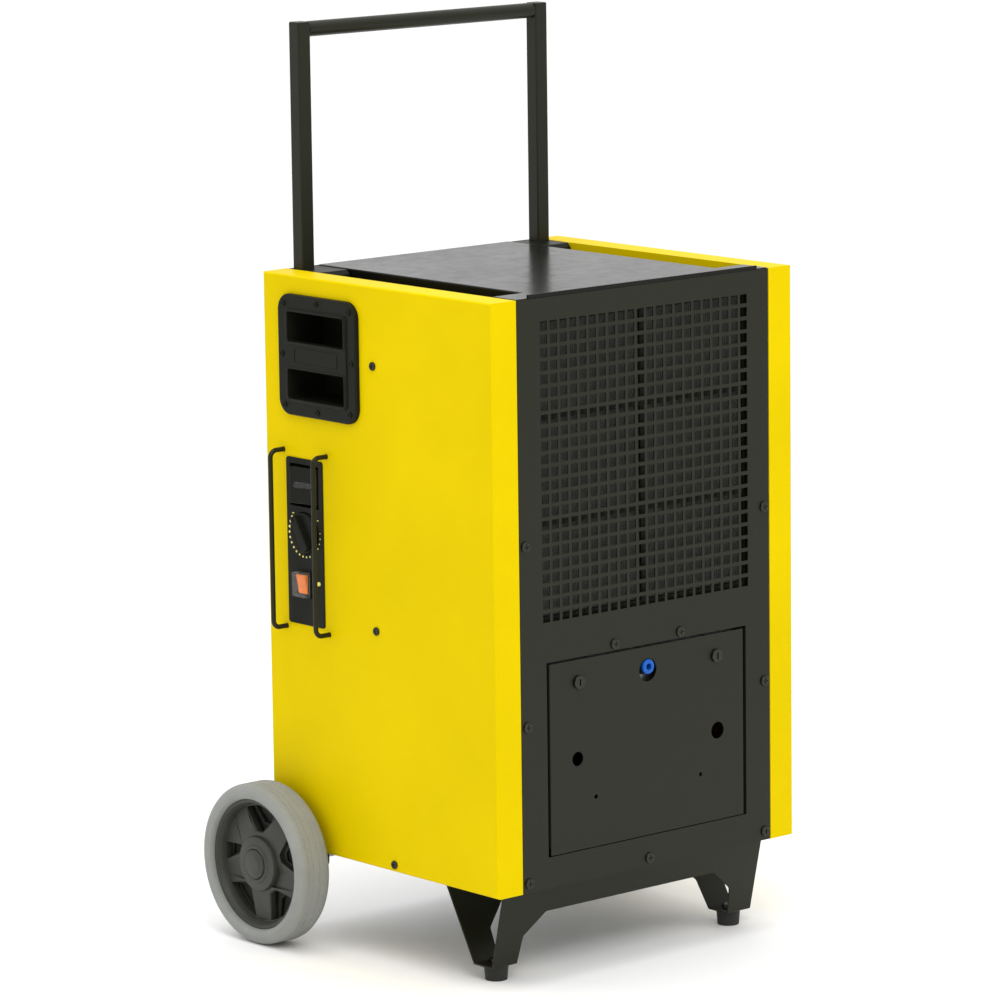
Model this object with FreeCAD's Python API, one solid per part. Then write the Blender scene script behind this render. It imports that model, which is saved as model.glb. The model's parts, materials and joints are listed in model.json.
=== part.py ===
import FreeCAD, Part
import math
import os

# Commercial dehumidifier on two wheels and a folded front stand.
# Axes while modelling: X to the right seen from the intake grille, Y from the grille to the outlet, Z up
# from the floor.  The body is centred on X = 0 and Y = 0.  Everything is moved along Y on export, so that
# the origin lies under the centre of the overall box.  Millimetres throughout.

V = FreeCAD.Vector
AX = V(1, 0, 0)
AY = V(0, 1, 0)
AZ = V(0, 0, 1)

# ---- driving dimensions ----
BODY_W = 482.0
BODY_D = 424.0
PANEL_H = 709.0
GROUND = 117.4
TOP = GROUND + PANEL_H
PAN_DEPTH = 38.0
SHEET = 1.5
GAP = 0.5
INNER = BODY_W / 2 - PAN_DEPTH
SIDE = BODY_W / 2
BACK = BODY_D / 2
FRONT = -BACK

WHEEL_R = 100.0
WHEEL_Y = 183.4
WHEEL_X = 252.5
AXLE_R = 10.0
RIM_R = 81.0
SPOKES = 5
CHEEK_X = 200.0
AXLE_END = 297.0
CAP_OUT = 300.6

HATCH_HALF = 157.5
HATCH_Z0 = GROUND + 39.2
HATCH_Z1 = GROUND + 270.7
OPENING_HALF = 162.0
OPENING_Z0 = GROUND + 38.0
OPENING_Z1 = GROUND + 273.7
FASTENER_X = 112.0
FASTENER_Z = GROUND + 243.6
DRAIN_Z = GROUND + 246.2

GRILLE_COLS = 22
GRILLE_ROWS = 23
GRILLE_PX = 15.33
GRILLE_PZ = 15.78
GRILLE_HOLE = 11.2
GRILLE_Z = GROUND + 501.6

LEG = 19.0
LEG_X = 191.0
LEG_Y = 194.0
LEG_Z0 = 560.0
HANDLE_TOP = 1127.4
BAR_Z = HANDLE_TOP - 9.6
FIT = 0.3

LID_HALF = 155.0
LID_Z = GROUND + 709.6
SUBDECK_Z = 802.0
DECK_Z = 413.0

CUP_Y = 104.0
CUP_Z = GROUND + 613.0
CUP_HALF = 74.0
CUP_HOLE = 55.6
CUP_DEPTH = 52.0
CUP_PROUD = 6.0

PLATE_Y0 = 103.0
PLATE_Y1 = 172.4
PLATE_Z0 = GROUND + 281.0
PLATE_Z1 = GROUND + 486.5
KNOB_Y = 138.0
KNOB_Z = GROUND + 395.0
KNOB_R = 25.0
ROCKER_Y = 141.0
ROCKER_Z = GROUND + 331.5
PIVOT_R = 1.2
LAMP_Y = 112.0
LAMP_Z = GROUND + 335.5
GUARD_YS = (96.0, 178.0)
GUARD_Z0 = GROUND + 275.0
GUARD_Z1 = GROUND + 494.0
GUARD_OUT = 21.0

STAND_HALF = 211.6
FOOT_X = 191.0
FOOT_Y = -147.5
FOOT_H = 18.3
FOOT_R = 15.0

FAN_Z = GROUND + 500.0
FAN_R = 138.0

COIL_LEVELS = [470.0 + 26.0 * i for i in range(12)]
EVAP_Y = -160.0
COND_Y = -100.0
TUBE_END = 166.0

SIDE_SCREWS = [(5.0, GROUND + 613.6), (6.0, GROUND + 292.0), (-21.0, GROUND + 9.0)]
FRONT_SCREWS = [(193.0, GROUND + 417.0), (-193.0, GROUND + 417.0), (193.0, GROUND + 200.5),
                (-193.0, GROUND + 200.5), (193.0, GROUND + 11.5), (-193.0, GROUND + 11.5),
                (53.3, GROUND + 281.5), (-53.3, GROUND + 281.5), (0.0, GROUND + 10.5)]
REAR_SCREWS = [(s * 190.0, GROUND + z) for s in (-1, 1) for z in (14.0, 240.0, 470.0, 672.0)]

Y_MIN = FRONT - 3.6
Y_MAX = WHEEL_Y + WHEEL_R
SHIFT = V(0, -(Y_MIN + Y_MAX) / 2, 0)


# ---- helpers ----
def box(x0, x1, y0, y1, z0, z1):
    return Part.makeBox(x1 - x0, y1 - y0, z1 - z0, V(x0, y0, z0))


def cyl(radius, length, base, axis):
    return Part.makeCylinder(radius, length, V(*base), axis)


def ring(outer, inner, length, base, axis):
    return cyl(outer, length, base, axis).cut(cyl(inner, length, base, axis))


def join(shapes):
    return shapes[0].multiFuse(shapes[1:]).removeSplitter()


def group(shapes):
    return Part.makeCompound(shapes)


def mirror_x(shape):
    return shape.mirror(V(0, 0, 0), AX)


def both(shape):
    return [shape, mirror_x(shape)]


def prism(points, sweep):
    corners = [V(*p) for p in points]
    return Part.Face(Part.makePolygon(corners + [corners[0]])).extrude(V(*sweep))


def line_edges(shape, axis, keep):
    found = []
    for edge in shape.Edges:
        if isinstance(edge.Curve, Part.Line) and abs(abs(edge.Curve.Direction.dot(axis)) - 1) < 1e-6:
            if keep(edge.CenterOfMass):
                found.append(edge)
    return found


def soften(shape, radius, axis, keep=lambda point: True):
    return shape.makeFillet(radius, line_edges(shape, axis, keep))


def edges_in(shape, test):
    return [edge for edge in shape.Edges if test(edge.BoundBox)]


def rounded_slab(x0, x1, y, z, half_y, half_z, radius):
    return soften(box(x0, x1, y - half_y, y + half_y, z - half_z, z + half_z), radius, AX)


def rect_wire(x, z, half_x, half_z, y):
    corners = [V(x - half_x, y, z - half_z), V(x + half_x, y, z - half_z),
               V(x + half_x, y, z + half_z), V(x - half_x, y, z + half_z)]
    return Part.makePolygon(corners + [corners[0]])


def round_wire(x, z, radius, y):
    return Part.Wire([Part.makeCircle(radius, V(x, y, z), AY)])


def pierced_sheet(outline, holes, thickness):
    face = Part.makeFace([outline] + holes, "Part::FaceMakerBullseye")
    return face.extrude(V(0, thickness, 0))


def square_grid(cols, rows, pitch_x, pitch_z, hole, z_centre, y):
    wires = []
    for col in range(cols):
        for row in range(rows):
            x = (col - (cols - 1) / 2) * pitch_x
            z = z_centre + (row - (rows - 1) / 2) * pitch_z
            wires.append(rect_wire(x, z, hole / 2, hole / 2, y))
    return wires


def rod(points, radius, bend):
    path = []
    stops = [V(*p) for p in points]
    last = stops[0]
    for here, ahead in zip(stops[1:-1], stops[2:]):
        u_in = (here - last).normalize()
        u_out = (ahead - here).normalize()
        turn = u_in.getAngle(u_out)
        trim = bend * math.tan(turn / 2)
        start = here - u_in * trim
        end = here + u_out * trim
        inward = (u_out - u_in).normalize()
        middle = here + inward * (bend / math.cos(turn / 2) - bend)
        path.append(Part.LineSegment(last, start).toShape())
        path.append(Part.Arc(start, middle, end).toShape())
        last = end
    path.append(Part.LineSegment(last, stops[-1]).toShape())
    direction = (stops[1] - stops[0]).normalize()
    profile = Part.Wire([Part.makeCircle(radius, stops[0], direction)])
    return Part.Wire(path).makePipeShell([profile], True, True)


def aimed(shape, at, axis):
    turned = shape.copy()
    turned.Placement = FreeCAD.Placement(V(*at), FreeCAD.Rotation(AZ, axis))
    return turned


def pan_head_screw(head_r, head_h, shank_r, shank_l):
    head = cyl(head_r, head_h, (0, 0, 0), AZ)
    head = head.makeFillet(head_h * 0.45, edges_in(head, lambda b: b.ZMin > head_h - 0.01))
    body = join([head, cyl(shank_r, shank_l, (0, 0, -shank_l), AZ)])
    arm = head_r * 0.6
    floor = head_h * 0.45
    top = head_h + 1
    return body.cut([box(-arm, arm, -0.6, 0.6, floor, top), box(-0.6, 0.6, -arm, arm, floor, top)])


def hex_prism(across, length, base, axis):
    points = [V(across / math.sqrt(3) * math.cos(math.radians(60 * i)),
                across / math.sqrt(3) * math.sin(math.radians(60 * i)), 0) for i in range(6)]
    blank = Part.Face(Part.makePolygon(points + [points[0]])).extrude(V(0, 0, length))
    return aimed(blank, base, axis)


def hex_bolt(across, head_h, shank_r, shank_l):
    return join([hex_prism(across, head_h, (0, 0, 0), AZ), cyl(shank_r, shank_l, (0, 0, -shank_l), AZ)])


# ---- sheet metal body ----
def side_panel(with_controls):
    outer = box(-SIDE, -INNER, FRONT, BACK, GROUND, TOP)
    pan = outer.makeFillet(2.6, edges_in(outer, lambda b: b.XMax < -SIDE + 0.01))
    cavity = box(-SIDE + SHEET, -INNER - SHEET, FRONT + SHEET, BACK - SHEET, GROUND + SHEET, TOP - SHEET)
    cavity = cavity.makeFillet(1.1, edges_in(cavity, lambda b: b.XMax < -SIDE + SHEET + 0.01))
    tools = [cavity, box(-INNER - 4, -INNER + 1, FRONT + 16, BACK - 16, GROUND + 16, TOP - 16)]
    cup = Part.makeBox(6, 2 * CUP_HOLE, 2 * CUP_HOLE, V(-SIDE - 1, CUP_Y - CUP_HOLE, CUP_Z - CUP_HOLE))
    tools.append(cup)
    for y, z in cup_screw_spots():
        tools.append(cyl(1.7, 8, (-SIDE - 1, y, z), AX))
    for y, z in SIDE_SCREWS:
        tools.append(cyl(2.6, 8, (-SIDE - 1, y, z), AX))
    if with_controls:
        tools.append(box(-SIDE - 1, -SIDE + 5, PLATE_Y0 + 5, PLATE_Y1 - 5, PLATE_Z0 + 5, PLATE_Z1 - 5))
        for y in GUARD_YS:
            for z in (GUARD_Z0, GUARD_Z1):
                tools.append(cyl(3.3, 8, (-SIDE - 1, y, z), AX))
    return pan.cut(tools)


def front_panel():
    half = INNER - GAP
    z0 = GROUND + 0.3
    z1 = TOP - 0.3
    holes = square_grid(GRILLE_COLS, GRILLE_ROWS, GRILLE_PX, GRILLE_PZ, GRILLE_HOLE, GRILLE_Z, FRONT)
    middle = (OPENING_Z0 + OPENING_Z1) / 2
    holes.append(rect_wire(0, middle, OPENING_HALF, (OPENING_Z1 - OPENING_Z0) / 2, FRONT))
    for x, z in FRONT_SCREWS:
        holes.append(round_wire(x, z, 2.6, FRONT))
    sheet = pierced_sheet(rect_wire(0, (z0 + z1) / 2, half, (z1 - z0) / 2, FRONT), holes, SHEET)
    parts = [sheet]
    parts += both(box(-half, -half + SHEET, FRONT, FRONT + 16, GROUND + 22, SUBDECK_Z - 2))
    parts += both(box(-OPENING_HALF - SHEET, -OPENING_HALF, FRONT, FRONT + 9, OPENING_Z0, OPENING_Z1 + SHEET))
    parts.append(box(-OPENING_HALF, OPENING_HALF, FRONT, FRONT + 9, OPENING_Z1, OPENING_Z1 + SHEET))
    panel = join(parts)
    return soften(panel, 1.2, AZ, lambda p: abs(abs(p.x) - half) < 0.1 and p.y < FRONT + 0.1)


def rear_panel():
    half = INNER - GAP
    z0 = GROUND + 0.3
    z1 = TOP - 0.3
    y0 = BACK - SHEET
    holes = square_grid(20, 20, GRILLE_PX, GRILLE_PX, GRILLE_HOLE, FAN_Z, y0)
    for x, z in REAR_SCREWS:
        holes.append(round_wire(x, z, 2.6, y0))
    holes.append(round_wire(140.0, GROUND + 150.0, 10.2, y0))
    sheet = pierced_sheet(rect_wire(0, (z0 + z1) / 2, half, (z1 - z0) / 2, y0), holes, SHEET)
    return join([sheet] + both(box(-half, -half + SHEET, BACK - 5.5, BACK, GROUND + 22, SUBDECK_Z - 2)))


def base_tray():
    outer = box(-200.4, 200.4, -209.8, 209.8, GROUND, GROUND + 20)
    outer = outer.makeFillet(2.5, edges_in(outer, lambda b: b.ZMax < GROUND + 0.01))
    inner = box(-198.4, 198.4, -207.8, 207.8, GROUND + 2, GROUND + 21)
    holes = [cyl(4.3, 6, (x, y, GROUND - 2), AZ) for x, y in base_bolt_spots()]
    for x, y in compressor_feet():
        holes.append(cyl(4.3, 6, (x, y, GROUND - 2), AZ))
    for x, z in FRONT_SCREWS + REAR_SCREWS:
        if z < GROUND + 20:
            holes.append(cyl(2.6, 2 * BODY_D, (x, -BODY_D, z), AY).common(outer))
    return outer.cut([inner] + holes)


def top_frame():
    plate = box(-201.2, 201.2, -209.4, 209.4, SUBDECK_Z - SHEET, SUBDECK_Z)
    reach = LEG / 2 + 0.7
    slot = Part.makeBox(2 * reach, 2 * reach, 10, V(-LEG_X - reach, LEG_Y - reach, SUBDECK_Z - 5))
    return plate.cut(both(slot))


def top_lid():
    z0 = LID_Z - SHEET
    back = 209.8
    parts = [box(-LID_HALF, LID_HALF, -back, back, z0, LID_Z)]
    parts.append(box(-201.5, 201.5, -back, -170, z0, LID_Z))
    parts.append(box(-LID_HALF, LID_HALF, back - SHEET, back, SUBDECK_Z + 0.3, LID_Z))
    parts += both(box(-LID_HALF, -LID_HALF + SHEET, -171, back, SUBDECK_Z + 0.3, LID_Z))
    parts += both(box(-201.5, -LID_HALF + SHEET, -170 - SHEET, -170, SUBDECK_Z + 0.3, LID_Z))
    lid = join(parts)
    lid = soften(lid, 1.8, AY, lambda p: abs(abs(p.x) - LID_HALF) < 0.1 and p.z > LID_Z - 0.1)
    lip = box(-183.5, 183.5, FRONT, FRONT + 3.4, TOP + 0.2, LID_Z + 4.2)
    lip = soften(lip, 1.3, AX, lambda p: p.z > LID_Z + 4)
    return join([lid, lip])


def machine_deck():
    plate = box(-198.5, 198.5, -190, 206, DECK_Z, DECK_Z + 2)
    edge = box(-198.5, 198.5, -190, -188, DECK_Z - 14, DECK_Z + 2)
    deck = join([plate, edge])
    corners = both(box(-200, -178.5, 181.5, 207, DECK_Z - 5, DECK_Z + 5))
    holes = [cyl(8, 10, (x, y, DECK_Z - 4), AZ) for x, y in ((0, -150), (190, -30), (-190, -30))]
    return deck.cut(corners + holes)


# ---- service hatch and drain connector ----
def service_hatch():
    y1 = FRONT + SHEET
    face = box(-HATCH_HALF, HATCH_HALF, FRONT, y1, HATCH_Z0, HATCH_Z1)
    parts = [face]
    parts += both(box(-HATCH_HALF, -HATCH_HALF + SHEET, FRONT, FRONT + 9, HATCH_Z0 + 9, HATCH_Z1))
    parts.append(box(-HATCH_HALF, HATCH_HALF, FRONT, FRONT + 9, HATCH_Z1 - SHEET, HATCH_Z1))
    inset = FRONT + SHEET + 1.6
    joggle = [(-150, FRONT, HATCH_Z0), (-150, y1, HATCH_Z0 + 4), (-150, y1, HATCH_Z0 + 2.5),
              (-150, inset + SHEET, HATCH_Z0 - 1.5), (-150, inset + SHEET, HATCH_Z0 - 12),
              (-150, inset, HATCH_Z0 - 12), (-150, inset, HATCH_Z0 - 1.2), (-150, FRONT + 1.0, HATCH_Z0)]
    parts.append(prism(joggle, (300, 0, 0)))
    hatch = join(parts)
    hatch = soften(hatch, 1.2, AZ, lambda p: abs(abs(p.x) - HATCH_HALF) < 0.1 and p.y < FRONT + 0.1)
    tools = [cyl(3.08, 12, (s * FASTENER_X, FRONT - 2, FASTENER_Z), AY) for s in (-1, 1)]
    tools.append(cyl(14.0, 12, (0, FRONT - 2, GROUND + 242.0), AY))
    tools.append(cyl(8.7, 12, (-114.0, FRONT - 2, GROUND + 150.5), AY))
    tools.append(cyl(10.4, 12, (114.0, FRONT - 2, GROUND + 150.5), AY))
    tools += [cyl(2.75, 12, (s * 85.5, FRONT - 2, GROUND + 100.0), AY) for s in (-1, 1)]
    return hatch.cut(tools)


def quarter_turn(side):
    x = side * FASTENER_X
    head = cyl(8.2, 3.3, (x, FRONT - 3.6, FASTENER_Z), AY)
    head = head.makeFillet(0.9, edges_in(head, lambda b: b.YMax < FRONT - 3.59))
    clip = cyl(6.0, 1.0, (x, FRONT + SHEET + 0.3, FASTENER_Z), AY)
    stud = join([head, cyl(3.0, 20.0, (x, FRONT - 2, FASTENER_Z), AY), clip])
    slot = box(x - 1.1, x + 1.1, FRONT - 5, FRONT - 1.8, FASTENER_Z - 4.2, FASTENER_Z + 4.2)
    return stud.cut(slot)


def hatch_receiver():
    z0 = GROUND + 222
    plate = box(-150, 150, -200, -198.5, z0, DECK_Z - 0.3)
    flange = box(-150, 150, -200, -191, DECK_Z - 1.8, DECK_Z - 0.3)
    cups = [ring(9.0, 4.0, 5.0, (s * FASTENER_X, -200, FASTENER_Z), AY) for s in (-1, 1)]
    body = join([plate, flange] + cups)
    tools = [cyl(4.0, 10, (s * FASTENER_X, -203, FASTENER_Z), AY) for s in (-1, 1)]
    tools.append(cyl(7.6, 10, (0, -203, DRAIN_Z), AY))
    return body.cut(tools)


def drain_connector():
    barrel = cyl(9.0, 4.4, (0, -207.2, DRAIN_Z), AY)
    neck = cyl(7.5, 17.0, (0, -203.0, DRAIN_Z), AY)
    hexagon = hex_prism(21.0, 2.6, (0, -202.8, DRAIN_Z), AY)
    nut = hex_prism(20.0, 5.0, (0, -198.3, DRAIN_Z), AY)
    barb = cyl(4.3, 14.0, (0, -187.0, DRAIN_Z), AY)
    body = join([barrel, neck, hexagon, nut, barb])
    return body.cut([cyl(6.9, 13.0, (0, -208, DRAIN_Z), AY), cyl(3.0, 50.0, (0, -208, DRAIN_Z), AY)])


def release_collar():
    flange = cyl(9.0, 3.2, (0, -213.9, DRAIN_Z), AY)
    flange = flange.makeFillet(1.2, edges_in(flange, lambda b: b.YMax < -213.89))
    sleeve = cyl(6.85, 15.0, (0, -213.9, DRAIN_Z), AY)
    return join([flange, sleeve]).cut(cyl(4.1, 20.0, (0, -215, DRAIN_Z), AY))


def drain_hose():
    path = [(0, -184.5, DRAIN_Z), (0, -150, DRAIN_Z), (0, -150, DECK_Z - 4)]
    return rod(path, 6.5, 18.0).cut(rod(path, 4.35, 18.0))


# ---- push handle ----
def handle_frame():
    half = LEG / 2
    leg = soften(box(-LEG_X - half, -LEG_X + half, LEG_Y - half, LEG_Y + half, LEG_Z0, HANDLE_TOP), 2.0, AZ)
    leg = leg.makeFillet(1.9, edges_in(leg, lambda b: b.ZMin > HANDLE_TOP - 0.01))
    hollow = box(-LEG_X - 8, -LEG_X + 8, LEG_Y - 8, LEG_Y + 8, LEG_Z0 - 1, HANDLE_TOP - 4)
    hollow = soften(hollow, 1.0, AZ)
    bar = ring(8.0, 6.4, 2 * LEG_X - LEG, (-LEG_X + half, LEG_Y, BAR_Z), AX)
    return join(both(leg.cut(hollow)) + [bar])


def handle_grip():
    reach = LEG_X - LEG / 2 - FIT
    sleeve = ring(9.5, 8.02, 2 * reach, (-reach, LEG_Y, BAR_Z), AX)
    rims = edges_in(sleeve, lambda b: b.ZMax - b.ZMin > 18.9 and b.XMax - b.XMin < 0.01)
    return sleeve.makeFillet(0.5, rims)


def handle_sockets():
    outer = LEG / 2 + FIT + 1.4
    inner = LEG / 2 + FIT
    z1 = SUBDECK_Z - SHEET - 0.3
    tube = box(-LEG_X - outer, -LEG_X + outer, LEG_Y - outer, LEG_Y + outer, 300, z1)
    bore = box(-LEG_X - inner, -LEG_X + inner, LEG_Y - inner, LEG_Y + inner, 299, z1 + 1)
    return group(both(tube.cut(bore)))


def guide_blocks():
    inner = LEG / 2 + FIT
    z1 = GROUND + 708.5
    block = box(-202.2, -158.0, 147, 209, SUBDECK_Z + 0.3, z1)
    block = soften(block, 1.5, AZ, lambda p: p.y > 200)
    front_edge = edges_in(block, lambda b: b.YMax < 147.01 and b.ZMin > z1 - 0.01)
    block = block.makeChamfer(5.0, front_edge)
    bore = box(-LEG_X - inner, -LEG_X + inner, LEG_Y - inner, LEG_Y + inner, 780, z1 + 5)
    return group(both(block.cut(bore)))


# ---- running gear ----
def base_bolt_spots():
    left = [(-187.0, 200.0), (-171.0, 200.0), (-160.0, -172.0), (-160.0, -64.0)]
    return left + [(-x, y) for x, y in left]


def axle_brackets():
    cheek = box(-CHEEK_X, -CHEEK_X + 4, 160, 209, 84, GROUND - 0.3)
    cheek = soften(cheek, 8.0, AX, lambda p: p.z < 85)
    flange = box(-CHEEK_X, -162, 190.5, 209, GROUND - 4.3, GROUND - 0.3)
    bracket = join([cheek, flange])
    tools = [cyl(AXLE_R + 0.02, 10, (-CHEEK_X - 2, WHEEL_Y, WHEEL_R), AX)]
    tools += [cyl(4.1, 10, (x, y, GROUND - 6), AZ) for x, y in base_bolt_spots() if x < 0 < y]
    return group(both(bracket.cut(tools)))


def axle():
    bar = cyl(AXLE_R, 2 * AXLE_END, (-AXLE_END, WHEEL_Y, WHEEL_R), AX)
    return bar.makeChamfer(1.0, [edge for edge in bar.Edges if isinstance(edge.Curve, Part.Circle)])


def axle_spacers():
    x0 = -WHEEL_X + 0.6
    x1 = -CHEEK_X - 0.3
    return group(both(ring(14.0, AXLE_R + 0.1, x1 - x0, (x0, WHEEL_Y, WHEEL_R), AX)))


def hub_caps():
    cap = cyl(16.0, 5.6, (-CAP_OUT, WHEEL_Y, WHEEL_R), AX)
    cap = cap.makeFillet(2.5, edges_in(cap, lambda b: b.XMax < -CAP_OUT + 0.01))
    return group(both(cap.cut(cyl(AXLE_R + 0.02, 4.0, (-AXLE_END - 0.2, WHEEL_Y, WHEEL_R), AX))))


def spun(profile):
    points = [V(-WHEEL_X - x, WHEEL_Y, WHEEL_R + r) for x, r in profile]
    face = Part.Face(Part.makePolygon(points + [points[0]]))
    return face.revolve(V(0, WHEEL_Y, WHEEL_R), AX, 360)


def tire():
    inner = RIM_R + 0.05
    crown = [(8.0, inner), (5.2, 81.6), (2.4, 83.4), (0.8, 86.6), (0.5, 90.0), (1.6, 93.6), (4.0, 97.0),
             (7.4, 99.2)]
    grooves = []
    floor = WHEEL_R - 0.8
    for x in (12.6, 20.1, 29.9, 37.4):
        grooves += [(x - 1.2, WHEEL_R), (x - 0.5, floor), (x + 0.5, floor), (x + 1.2, WHEEL_R)]
    back = [(50.0 - x, r) for x, r in reversed(crown)]
    return spun(crown + [(10.6, 99.9)] + grooves + [(39.4, 99.9)] + back)


def wheel_rim():
    barrel = spun([(8.0, 76.0), (8.0, RIM_R), (42.0, RIM_R), (42.0, 76.0), (32.0, 71.5), (14.0, 71.5)])
    bore = AXLE_R + 0.08
    hub = spun([(1.0, bore), (1.0, 19.0), (5.0, 23.0), (10.0, 34.5), (39.2, 34.5), (40.7, 33.0), (40.7, 25.2),
                (41.6, 24.6), (41.6, 22.6), (40.4, 21.8), (40.4, bore)])
    disc = spun([(10.0, 30.0), (13.0, 30.0), (16.0, 73.0), (13.0, 73.0)])
    x = -WHEEL_X - 12
    spokes = []
    for i in range(SPOKES):
        web = prism([(x, -19.0, 30), (x, 19.0, 30), (x, 15.0, 73), (x, -15.0, 73)], (-20.0, 0, 0))
        web.rotate(V(0, 0, 0), AX, 180 + 360 / SPOKES * i)
        web.translate(V(0, WHEEL_Y, WHEEL_R))
        spokes.append(web)
    return join([barrel, hub, disc] + spokes)


# ---- front stand and feet ----
def front_stand():
    t = 2.0
    z0 = GROUND - 99.0
    z1 = GROUND - 0.3
    profile = [(-187.5, z1), (-165.0, z0), (-130.4, z0), (-77.1, z1 - t), (-52.0, z1 - t), (-52.0, z1),
               (-78.3, z1), (-131.6, z0 + t), (-163.4, z0 + t), (-185.0, z1 - t), (-160.0, z1 - t),
               (-160.0, z1)]
    stand = prism([(-STAND_HALF, y, z) for y, z in profile], (2 * STAND_HALF, 0, 0))
    stand = soften(stand, 3.0, AX, lambda p: p.z < z0 + 0.1)
    low = z0 - 5
    window = [(-138, -210, GROUND - 37.5), (138, -210, GROUND - 37.5), (170, -210, GROUND - 64),
              (174, -210, low), (-174, -210, low), (-170, -210, GROUND - 64)]
    cut_out = soften(prism(window, (0, 200, 0)), 6.0, AY, lambda p: p.z > low + 1)
    tools = [cut_out] + [cyl(4.1, 12, (s * FOOT_X, FOOT_Y, z0 - 4), AZ) for s in (-1, 1)]
    tools += [cyl(4.1, 12, (x, y, z1 - 8), AZ) for x, y in base_bolt_spots() if y < 0]
    return stand.cut(tools)


def foot_pads():
    pads = []
    for s in (-1, 1):
        pad = Part.makeCone(FOOT_R - 1.6, FOOT_R, FOOT_H, V(s * FOOT_X, FOOT_Y, 0), AZ)
        pad = pad.makeFillet(1.0, edges_in(pad, lambda b: b.ZMax < 0.01))
        pads.append(pad.cut(cyl(4.05, FOOT_H, (s * FOOT_X, FOOT_Y, 3.5), AZ)))
    return group(pads)


def frame_bolts():
    blank = hex_bolt(13.0, 5.3, 4.0, 12.0)
    bolts = [aimed(blank, (s * FOOT_X, FOOT_Y, GROUND - 97.0), AZ) for s in (-1, 1)]
    for x, y in base_bolt_spots():
        seat = GROUND - 4.3 if y > 0 else GROUND - 2.3
        bolts.append(aimed(blank, (x, y, seat), -AZ))
    return group(bolts)


# ---- recessed carrying handles ----
def cup_screw_spots():
    spots = []
    for dy in (-66, -62, 0, 62, 66):
        for dz in (-66, -62, 0, 62, 66):
            corner = abs(dy) == 62 and abs(dz) == 62
            middle = sorted((abs(dy), abs(dz))) == [0, 66]
            if corner or middle:
                spots.append((CUP_Y + dy, CUP_Z + dz))
    return spots


def carry_handle():
    face = -SIDE - CUP_PROUD
    bezel = rounded_slab(face, -SIDE - 0.05, CUP_Y, CUP_Z, CUP_HALF, CUP_HALF, 20)
    bezel = bezel.makeFillet(2.5, edges_in(bezel, lambda b: b.XMax < face + 0.01))
    raised = rounded_slab(face - 1.6, face + 1, CUP_Y, CUP_Z, 58, 57, 6)
    raised = raised.makeFillet(1.2, edges_in(raised, lambda b: b.XMax < face - 1.59))
    cup_half = CUP_HOLE - 0.4
    cup = rounded_slab(-SIDE - 0.1, -SIDE + CUP_DEPTH, CUP_Y, CUP_Z, cup_half, cup_half, 5)
    body = join([bezel, raised, cup])
    cavity = rounded_slab(-SIDE + 3.0, -SIDE + CUP_DEPTH - 2, CUP_Y, CUP_Z, cup_half - 2, cup_half - 2, 4)
    tools = [cavity]
    for s in (-1, 1):
        tools.append(rounded_slab(face - 3, -SIDE + 5, CUP_Y, CUP_Z + s * 34.9, 53.2, 18.3, 3))
    for y, z in cup_screw_spots():
        tools.append(cyl(1.7, 12, (face - 1, y, z), AX))
    return body.cut(tools)


def carry_handle_screws():
    blank = pan_head_screw(3.6, 1.8, 1.6, 10.0)
    face = -SIDE - CUP_PROUD
    screws = [aimed(blank, (face, y, z), -AX) for y, z in cup_screw_spots()]
    return group(screws + [mirror_x(screw) for screw in screws])


# ---- control panel ----
def control_plate():
    face = -SIDE - 1.6
    yc = (PLATE_Y0 + PLATE_Y1) / 2
    zc = (PLATE_Z0 + PLATE_Z1) / 2
    half_y = (PLATE_Y1 - PLATE_Y0) / 2
    half_z = (PLATE_Z1 - PLATE_Z0) / 2
    flange = rounded_slab(face, -SIDE - 0.05, yc, zc, half_y, half_z, 4)
    flange = flange.makeFillet(0.7, edges_in(flange, lambda b: b.XMax < face + 0.01))
    tub = rounded_slab(-SIDE - 0.1, -SIDE + 26, yc, zc, half_y - 5.3, half_z - 5.3, 3)
    plate = join([flange, tub])
    pocket_z0 = GROUND + 427
    tools = [box(-SIDE + 2.0, -SIDE + 30, PLATE_Y0 + 7.3, PLATE_Y1 - 7.3, PLATE_Z0 + 7.3, pocket_z0 - 2)]
    tools.append(box(face - 1, -SIDE + 24, PLATE_Y0 + 7.3, PLATE_Y1 - 7.3, pocket_z0, PLATE_Z1 - 7.3))
    well = cyl(KNOB_R + 1.2, 5.0, (face - 1, KNOB_Y, KNOB_Z), AX)
    floor = cyl(KNOB_R + 3.2, 6.0, (-SIDE, KNOB_Y, KNOB_Z), AX)
    plate = join([plate.cut(tools), floor])
    holes = [well, cyl(4.1, 20, (face - 1, KNOB_Y, KNOB_Z), AX)]
    holes.append(box(face - 1, -SIDE + 6, ROCKER_Y - 10.8, ROCKER_Y + 10.8, ROCKER_Z - 14.3, ROCKER_Z + 14.3))
    holes.append(cyl(2.7, 10, (face - 1, LAMP_Y, LAMP_Z), AX))
    return plate.cut(holes)


def tilted_on_counter(shape):
    tilted = shape.copy()
    tilted.rotate(V(-SIDE - 3, 136, GROUND + 455), AZ, 8)
    return tilted


def hours_counter():
    case = box(-SIDE - 5, -SIDE + 13, 113.5, 159, GROUND + 431, GROUND + 476)
    case = case.makeFillet(1.5, edges_in(case, lambda b: b.XMax < -SIDE - 4.99))
    window = box(-SIDE - 6, -SIDE - 3.4, 122, 152, GROUND + 450, GROUND + 457.6)
    return tilted_on_counter(case.cut(window))


def counter_window():
    pane = box(-SIDE - 5.2, -SIDE - 3.5, 122.2, 151.8, GROUND + 450.2, GROUND + 457.4)
    pane = pane.makeFillet(0.5, edges_in(pane, lambda b: b.XMax < -SIDE - 5.19))
    return tilted_on_counter(pane)


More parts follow.
